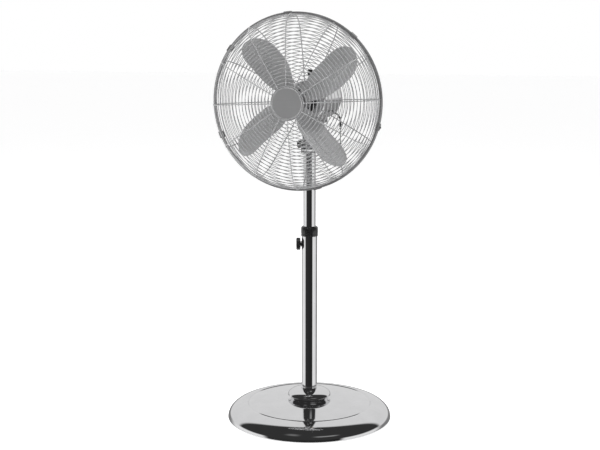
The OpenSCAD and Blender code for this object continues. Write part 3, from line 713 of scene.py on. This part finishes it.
def one_blade(rows=44, cols=36):
    skins = []
    for h in (0.0, BLADE_T):
        for i in range(rows + 1):
            t = 0.995 * math.sin(math.pi / 2 * i / rows)
            for j in range(cols + 1):
                x, y, z = blade_point(t, 2 * j / cols - 1)
                skins.append((x, y, z + h))
    high_skin = (rows + 1) * (cols + 1)

    def at(h, i, j):
        return h * high_skin + i * (cols + 1) + j
    faces = []
    for i in range(rows):
        for j in range(cols):
            faces.append((at(1, i, j), at(1, i, j + 1), at(1, i + 1, j + 1), at(1, i + 1, j)))
            faces.append((at(0, i, j), at(0, i + 1, j), at(0, i + 1, j + 1), at(0, i, j + 1)))
        faces.append((at(0, i, 0), at(1, i, 0), at(1, i + 1, 0), at(0, i + 1, 0)))
        faces.append((at(0, i, cols), at(0, i + 1, cols), at(1, i + 1, cols), at(1, i, cols)))
    for j in range(cols):
        faces.append((at(0, 0, j), at(0, 0, j + 1), at(1, 0, j + 1), at(1, 0, j)))
        faces.append((at(0, rows, j), at(1, rows, j), at(1, rows, j + 1), at(0, rows, j + 1)))
    return skins, faces


def blades():
    verts, faces = one_blade()
    for k, place in blade_turns():
        make_piece("blade_%d" % (k + 1), [place(v) for v in verts], faces, "rotor", "blade_aluminium",
                   MATERIALS["blade_aluminium"], "fan_blades", forward, 60)


def blade_turns():
    """The number of each blade, and what puts a point of the first one in its place."""
    for k in range(BLADE_COUNT):
        turn = Matrix.Rotation(math.radians(BLADE_HEADING + 360 / BLADE_COUNT * k), 3, "Z")
        yield k, lambda v, turn=turn: tuple(turn @ Vector(v) + Vector((0, 0, BLADE_PLANE)))


def rivets():
    """Domed rivet heads with a washer rim, three to a blade."""
    head = [(0.01, BLADE_T + 1.25), (1.0, BLADE_T + 1.15), (1.8, BLADE_T + 0.8), (2.2, BLADE_T + 0.3),
            (2.6, BLADE_T + 0.25), (2.6, BLADE_T - 0.1), (0.01, BLADE_T - 0.1)]
    parts = []
    for _, place in blade_turns():
        for x, y in RIVET_PLACES:
            verts, faces = lathe(head, 24, False)
            parts.append(([place((a + x, b + y, c)) for a, b, c in verts], faces))
    make_piece("blade_rivet_heads", *join(*parts), "rotor", "steel", MATERIALS["steel"],
               "blade_rivets", forward)


def blade_spider():
    """Pressed carrier with an arm for each blade, on a turned hub."""
    low_z, plate = BLADE_PLANE - 20, BLADE_PLANE - 1.6
    hub = [(4, low_z), (12.2, low_z), (13, low_z + 0.8), (13, plate - 2), (14.5, plate - 0.3),
           (24, plate - 0.2), (24.4, plate + 0.4), (24.4, plate + 1.2), (24, plate + 1.6),
           (14, plate + 1.6), (13, plate + 2.4), (13, plate + 5.8), (12.2, plate + 6.6),
           (4, plate + 6.6)]
    parts = [lathe(hub, 72)]
    arm = [(10, -10)] + arc(46, -4, 8, 6, -90, 0, 8) + arc(46, 4, 8, 6, 0, 90, 8) + [(10, 10)]
    for _, place in blade_turns():
        parts.append(rounded_box(arm, 1.5, 0.3, lambda p, place=place: place((p[0], p[1], p[2] - 1.55))))
    make_piece("spider_skin", *join(*parts), "rotor", "steel", MATERIALS["steel"], "blade_spider", forward)


REAR_HUB_Z = 32
FRONT_HUB_AHEAD = 61.8
HUB_PLATE_T = 1.6


def hub_plates():
    """Pressed discs that close the middle of each grille, with a rolled edge and a stiffening ring."""
    z = RIM_AHEAD + FRONT_HUB_AHEAD
    top = z + HUB_PLATE_T
    front = [(12, z), (24, z), (27, z + 0.6), (38, z + 0.6), (40.2, z - 0.2), (41, z + 0.2), (41, z + 1.2),
             (40.2, top), (38, top), (12, top)]
    make_piece("front_hub_skin", *lathe(front, 96), "head", "wire_chrome", MATERIALS["wire_chrome"],
               "front_hub_plate", forward)
    z = REAR_HUB_Z
    top = z + HUB_PLATE_T
    rear = [(20.1, z), (30, z), (32, z + 0.3), (43, z + 0.3), (45, z), (45, z + 1.0), (44, top), (34, top),
            (20.1, top)]
    make_piece("rear_hub_skin", *lathe(rear, 96), "head", "wire_chrome", MATERIALS["wire_chrome"],
               "rear_hub_plate", forward)


def grille_nut():
    """Fluted clamp nut with a flange, on the rear hub plate."""
    z = REAR_HUB_Z + HUB_PLATE_T

    def flutes(radius, height, a):
        fluted = 24 < radius < 27 and height > z + 3.9
        return radius * (0.95 + 0.05 * math.cos(12 * a)) if fluted else radius
    outline = [(20.1, z), (29.2, z), (30, z + 0.8), (30, z + 2.8), (29, z + 3.9), (26.4, z + 4.0),
               (26, z + 4.6), (26, z + 8), (25, z + 9), (21, z + 9), (20.1, z + 8.2)]
    make_piece("grille_nut_skin", *lathe(outline, 144, True, flutes), "head", "black_plastic",
               MATERIALS["black_plastic"], "grille_nut", forward)


# ------------------------------------------------------------------ motor

SEAM_Z = -10
ROUND_START = -96
FLAT_R = 24
CASING_WALL = 2
CORNER_R = 10
BOSS_R = 20
BOSS_LENGTH = 11
BOSS_BORE = 7
SCREW_Z = -14


def motor_casing():
    """Two drawn covers that meet at a seam: a long one with a rounded back, and a front one with a boss."""
    front, back = -low("motor_front_cover").y - BOSS_LENGTH, high("motor_rear_cover").y
    inside_r = MOTOR_R - CASING_WALL
    rear = [(MOTOR_R - 0.4, SEAM_Z - 0.1), (MOTOR_R, SEAM_Z - 0.6), (MOTOR_R, -30), (MOTOR_R, -50)]
    rear += arc(FLAT_R, ROUND_START, MOTOR_R - FLAT_R, back + ROUND_START, 0, -90, 24)
    rear += [(0.01, -back), (0.01, -back + CASING_WALL)]
    rear += arc(FLAT_R, ROUND_START, MOTOR_R - FLAT_R - CASING_WALL, back + ROUND_START - CASING_WALL,
                -90, 0, 12)
    rear += [(inside_r, SEAM_Z - 0.1)]
    make_piece("motor_rear_skin", *lathe(rear, 128), "head", "chrome", MATERIALS["chrome"],
               "motor_rear_cover", forward)
    centre = (MOTOR_R - CORNER_R, front - CORNER_R)
    inner_r = CORNER_R - CASING_WALL
    nose = [(inside_r, SEAM_Z), (MOTOR_R - 0.4, SEAM_Z), (MOTOR_R, SEAM_Z + 0.5)]
    nose += arc(*centre, CORNER_R, CORNER_R, 0, 90, 12)
    nose += [(BOSS_R, front), (BOSS_R, front + BOSS_LENGTH), (BOSS_BORE, front + BOSS_LENGTH),
             (BOSS_BORE, front - CASING_WALL)]
    nose += arc(*centre, inner_r, inner_r, 90, 0, 8)
    make_piece("motor_front_skin", *lathe(nose, 128), "head", "chrome", MATERIALS["chrome"],
               "motor_front_cover", forward)


def casing_screws():
    """Pan head screws round the casing, just behind its seam."""
    seat = MOTOR_R - 0.2
    parts = []
    for a in range(45, 360, 90):
        c, d = math.cos(math.radians(a)), math.sin(math.radians(a))
        parts.append(screw_head(3, 1.6, lambda p, c=c, d=d: (
            (seat + p[2]) * c - p[0] * d, (seat + p[2]) * d + p[0] * c, SCREW_Z + p[1])))
    make_piece("casing_screw_heads", *join(*parts), "head", "steel", MATERIALS["steel"],
               "casing_screws", forward)


def clutch_knob():
    """Ribbed pull knob on a stem."""
    node = "clutch_knob"
    x, y = middle(node).x, middle(node).y
    top, bottom = high(node).z, low(node).z
    r = (high(node).x - low(node).x) / 2

    def wobble(radius, z, a):
        ribbed = radius > r * 0.8 and z < top - 2
        return radius * (0.95 + 0.05 * math.cos(14 * a)) if ribbed else radius
    outline = [(0.01, bottom), (3, bottom), (3, top - 17), (r - 1.2, top - 17), (r, top - 16),
               (r, top - 2.5), (r - 0.8, top - 0.8), (r - 2.5, top), (0.01, top)]
    verts, faces = lathe(outline, 112, False, wobble)
    make_piece("clutch_knob_skin", verts, faces, "clutch", "black_plastic", MATERIALS["black_plastic"],
               node, lambda p: (p[0] + x, p[1] + y, p[2]))


# ------------------------------------------------------------------ pull switch

PULL_ROOT = (30, 88)
PULL_BEND_R = 22
PULL_BEND_Z = 752
PULL_HEADING = math.radians(35)
PULL_LINE = (PULL_ROOT[0] + PULL_BEND_R * math.cos(PULL_HEADING),
             PULL_ROOT[1] + PULL_BEND_R * math.sin(PULL_HEADING))
PULL_ROUTE = ((*PULL_LINE, 751), (*PULL_LINE, 697))
PULL_TUBE_R = 2.2
SLEEVE_FOOT = 737
CORD_R = 1.1


def on_pull_line(p):
    return (p[0] + PULL_LINE[0], p[1] + PULL_LINE[1], p[2])


def pull_cord():
    """Short cord that hangs straight from its guide into the bead."""
    top, bottom = (Vector(p) for p in PULL_ROUTE)
    path = [tuple(top.lerp(bottom, i / 24)) for i in range(25)]
    verts, faces = sweep(path, CORD_R, 12)
    cord = make_piece("pull_cord_line", verts, faces, "pull", "rubber", MATERIALS["rubber"], "pull_cord",
                      None, 60)
    z = high("pull_bead").z
    bead = [(0.01, z - 6), (1.6, z - 6), (2.6, z - 5.4), (3.3, z - 4.2), (3.4, z - 3), (2.9, z - 1.6),
            (1.8, z - 0.4), (1.3, z), (0.01, z)]
    end = make_piece("pull_bead_skin", *lathe(bead, 48, False), "pull", "black_plastic",
                     MATERIALS["black_plastic"], "pull_bead", on_pull_line)


def pull_guide():
    """Hooked tube out of the motor's back, with a flared sleeve that the cord runs in."""
    x, y = PULL_LINE
    hook = []
    for i in range(17):
        a = math.pi / 2 * (1 - i / 16)
        reach = PULL_BEND_R * (math.cos(a) - 1)
        hook.append((x + reach * math.cos(PULL_HEADING), y + reach * math.sin(PULL_HEADING),
                     PULL_BEND_Z + PULL_BEND_R * math.sin(a)))
    foot, top = SLEEVE_FOOT, PULL_BEND_Z + 0.4
    sleeve = [(1.5, foot), (2.9, foot), (3.1, foot + 0.6), (2.7, foot + 2), (2.7, top - 1.4), (2.4, top),
              (1.5, top)]
    verts, faces = lathe(sleeve, 32)
    tip = ([on_pull_line(p) for p in verts], faces)
    make_piece("pull_guide_skin", *join(sweep(hook, PULL_TUBE_R, 16), tip), "head", "steel",
               MATERIALS["dark_steel"], "pull_cord_guide", None, 40)


# ------------------------------------------------------------------ studio

CAMERA_TURN = 19.42
CAMERA_DISTANCE = 2.82
CAMERA_SIDE = -0.0239
CAMERA_HEIGHT = 0.951
CAMERA_PITCH = 9.133
CAMERA_LENS = 68.4
FLOOR_HALF = 30


def camera():
    turn, pitch = math.radians(CAMERA_TURN), math.radians(CAMERA_PITCH)
    right = Vector((math.cos(turn), math.sin(turn), 0))
    away = Vector((math.sin(turn), -math.cos(turn), 0))
    data = bpy.data.cameras.new("camera")
    data.sensor_width = 36
    data.lens = CAMERA_LENS
    data.clip_end = 50
    obj = bpy.data.objects.new("camera", data)
    obj.location = away * CAMERA_DISTANCE + right * CAMERA_SIDE + Vector((0, 0, CAMERA_HEIGHT))
    obj.rotation_euler = (math.pi / 2 - pitch, 0, turn)
    bpy.context.scene.collection.objects.link(obj)
    bpy.context.scene.camera = obj


def floor():
    mesh = bpy.data.meshes.new("studio_floor")
    s = FLOOR_HALF
    mesh.from_pydata([(-s, -s, 0), (s, -s, 0), (s, s, 0), (-s, s, 0)], [], [(0, 1, 2, 3)])
    obj = bpy.data.objects.new("studio_floor", mesh)
    bpy.context.scene.collection.objects.link(obj)
    mat, nodes, links, bsdf = new_material("studio_floor")
    bsdf.inputs["Roughness"].default_value = 0.9
    bsdf.inputs["Emission Color"].default_value = (1, 1, 1, 1)
    bsdf.inputs["Emission Strength"].default_value = 0.75
    cloud = object_noise(nodes, links, 0.7, 2)
    tone = blend_colour(nodes, links, cloud.outputs["Fac"], grey(0.90), grey(0.92))
    links.new(tone, bsdf.inputs["Base Color"])
    mesh.materials.append(mat)
    obj.visible_glossy = False


def area_light(name, location, target, size, power):
    data = bpy.data.lights.new(name, "AREA")
    data.shape = "RECTANGLE"
    data.size, data.size_y = size
    data.energy = power
    obj = bpy.data.objects.new(name, data)
    obj.location = location
    obj.rotation_euler = (Vector(target) - Vector(location)).to_track_quat("-Z", "Y").to_euler()
    obj.visible_glossy = False
    bpy.context.scene.collection.objects.link(obj)


def smooth_step(nodes, links, value, start, end):
    step = nodes.new("ShaderNodeMapRange")
    step.interpolation_type = "SMOOTHSTEP"
    step.inputs["From Min"].default_value = start
    step.inputs["From Max"].default_value = end
    links.new(value, step.inputs["Value"])
    return step.outputs["Result"]


def arithmetic(nodes, links, operation, a, b):
    node = nodes.new("ShaderNodeMath")
    node.operation = operation
    for socket, value in zip(node.inputs, (a, b)):
        if isinstance(value, (int, float)):
            socket.default_value = value
        else:
            links.new(value, socket)
    return node.outputs["Value"]


def world_mix(nodes, links, factor, first, second):
    """First where the factor is 0 and second where it is 1; either may be a plain grey level."""
    mix = nodes.new("ShaderNodeMix")
    mix.data_type = "RGBA"
    links.new(factor, mix.inputs["Factor"])
    for socket, value in ((mix.inputs["A"], first), (mix.inputs["B"], second)):
        if isinstance(value, (int, float)):
            socket.default_value = (value, value, value, 1)
        else:
            links.new(value, socket)
    return mix.outputs["Result"]


def between(nodes, links, value, start, end, soft):
    """1 between start and end, with soft edges."""
    rise = smooth_step(nodes, links, value, start - soft, start + soft)
    fall = smooth_step(nodes, links, value, end + soft, end - soft)
    return arithmetic(nodes, links, "MULTIPLY", rise, fall)


# Compass heading from 0 to 1, and grey level
WALL_STOPS = ((0.11, 0.85), (0.145, 0.03), (0.415, 0.02), (0.445, 0.85), (0.58, 0.80), (0.64, 0.22),
              (0.90, 0.22), (0.97, 0.80))
# Heading from and to, height from and to, and grey level
STRIPS = ((0.33, 0.42, 0.50, 0.62, 0.30), (0.20, 0.25, 0.62, 0.80, 0.16))
WALL_ENDS = 0.85
DARK_SIDE = 0.035
LIGHT_SIDE = 0.72


def room_light():
    """What the chrome reflects: walls by compass heading below the horizon, and a pale back above it.

    The rest above the horizon is dark, with two soft strips. The camera itself sees plain white.
    """
    world = bpy.data.worlds.new("studio")
    bpy.context.scene.world = world
    world.use_nodes = True
    nodes, links = world.node_tree.nodes, world.node_tree.links
    nodes.clear()
    out = nodes.new("ShaderNodeOutputWorld")
    coord = nodes.new("ShaderNodeTexCoord")
    split = nodes.new("ShaderNodeSeparateXYZ")
    links.new(coord.outputs["Generated"], split.inputs["Vector"])
    x, y, z = (split.outputs[axis] for axis in "XYZ")
    turn = arithmetic(nodes, links, "ARCTAN2", y, x)
    heading = arithmetic(nodes, links, "ADD", arithmetic(nodes, links, "DIVIDE", turn, 2 * math.pi), 0.5)
    walls = nodes.new("ShaderNodeValToRGB")
    walls.color_ramp.interpolation = "EASE"
    elements = walls.color_ramp.elements
    elements[0].position, elements[-1].position = 0.0, 1.0
    for element in (elements[0], elements[-1]):
        element.color = (WALL_ENDS, WALL_ENDS, WALL_ENDS, 1)
    for place, value in WALL_STOPS:
        elements.new(place).color = (value, value, value, 1)
    links.new(heading, walls.inputs["Fac"])
    aim = math.radians(CAMERA_TURN)
    across = arithmetic(nodes, links, "MULTIPLY", x, -math.sin(aim))
    away = arithmetic(nodes, links, "ADD", across, arithmetic(nodes, links, "MULTIPLY", y, math.cos(aim)))
    wall = walls.outputs["Color"]
    back = world_mix(nodes, links, smooth_step(nodes, links, z, -0.07, 0.02), wall, LIGHT_SIDE)
    front = world_mix(nodes, links, smooth_step(nodes, links, z, -0.04, 0.10), wall, DARK_SIDE)
    for turn_from, turn_to, low_z, high_z, level in STRIPS:
        along = between(nodes, links, heading, turn_from, turn_to, 0.02)
        upward = between(nodes, links, z, low_z, high_z, 0.05)
        strip = arithmetic(nodes, links, "MULTIPLY", along, upward)
        front = world_mix(nodes, links, strip, front, level)
    room = world_mix(nodes, links, smooth_step(nodes, links, away, 0.30, 0.44), front, back)
    seen = nodes.new("ShaderNodeBackground")
    links.new(room, seen.inputs["Color"])
    plain = nodes.new("ShaderNodeBackground")
    plain.inputs["Color"].default_value = (1, 1, 1, 1)
    path = nodes.new("ShaderNodeLightPath")
    choose = nodes.new("ShaderNodeMixShader")
    links.new(path.outputs["Is Camera Ray"], choose.inputs["Fac"])
    links.new(seen.outputs["Background"], choose.inputs[1])
    links.new(plain.outputs["Background"], choose.inputs[2])
    links.new(choose.outputs["Shader"], out.inputs["Surface"])


def studio():
    floor()
    room_light()
    area_light("key_light", (-1.8, -2.2, 2.6), (0, 0, 0.5), (1.6, 1.6), 52)
    area_light("fill_light", (2.4, -1.2, 2.0), (0, 0, 0.5), (1.4, 1.8), 30)
    area_light("top_light", (0, 0.3, 3.2), (0, 0, 0), (2.4, 2.4), 60)
    bpy.context.scene.view_settings.view_transform = "Standard"


camera()
pull_cord()
dress_cad_nodes()
base_shell()
cover_disc()
tube("lower_tube_skin", "lower_tube", LOWER_R, 0.8, "stand")
tube("upper_tube_skin", "upper_tube", UPPER_R, 0.6, "column")
collar()
knobs()
wire_grille("front_grille_wires", FRONT_DOME, 1, "front_grille")
wire_grille("rear_grille_wires", REAR_DOME, -1, "rear_grille")
rim_rings()
rim_clips()
badge()
blades()
motor_casing()
clutch_knob()
casing_screws()
pull_guide()
tilt_bracket()
neck_block()
chin()
hub_plates()
grille_nut()
blade_spider()
rivets()
studio()
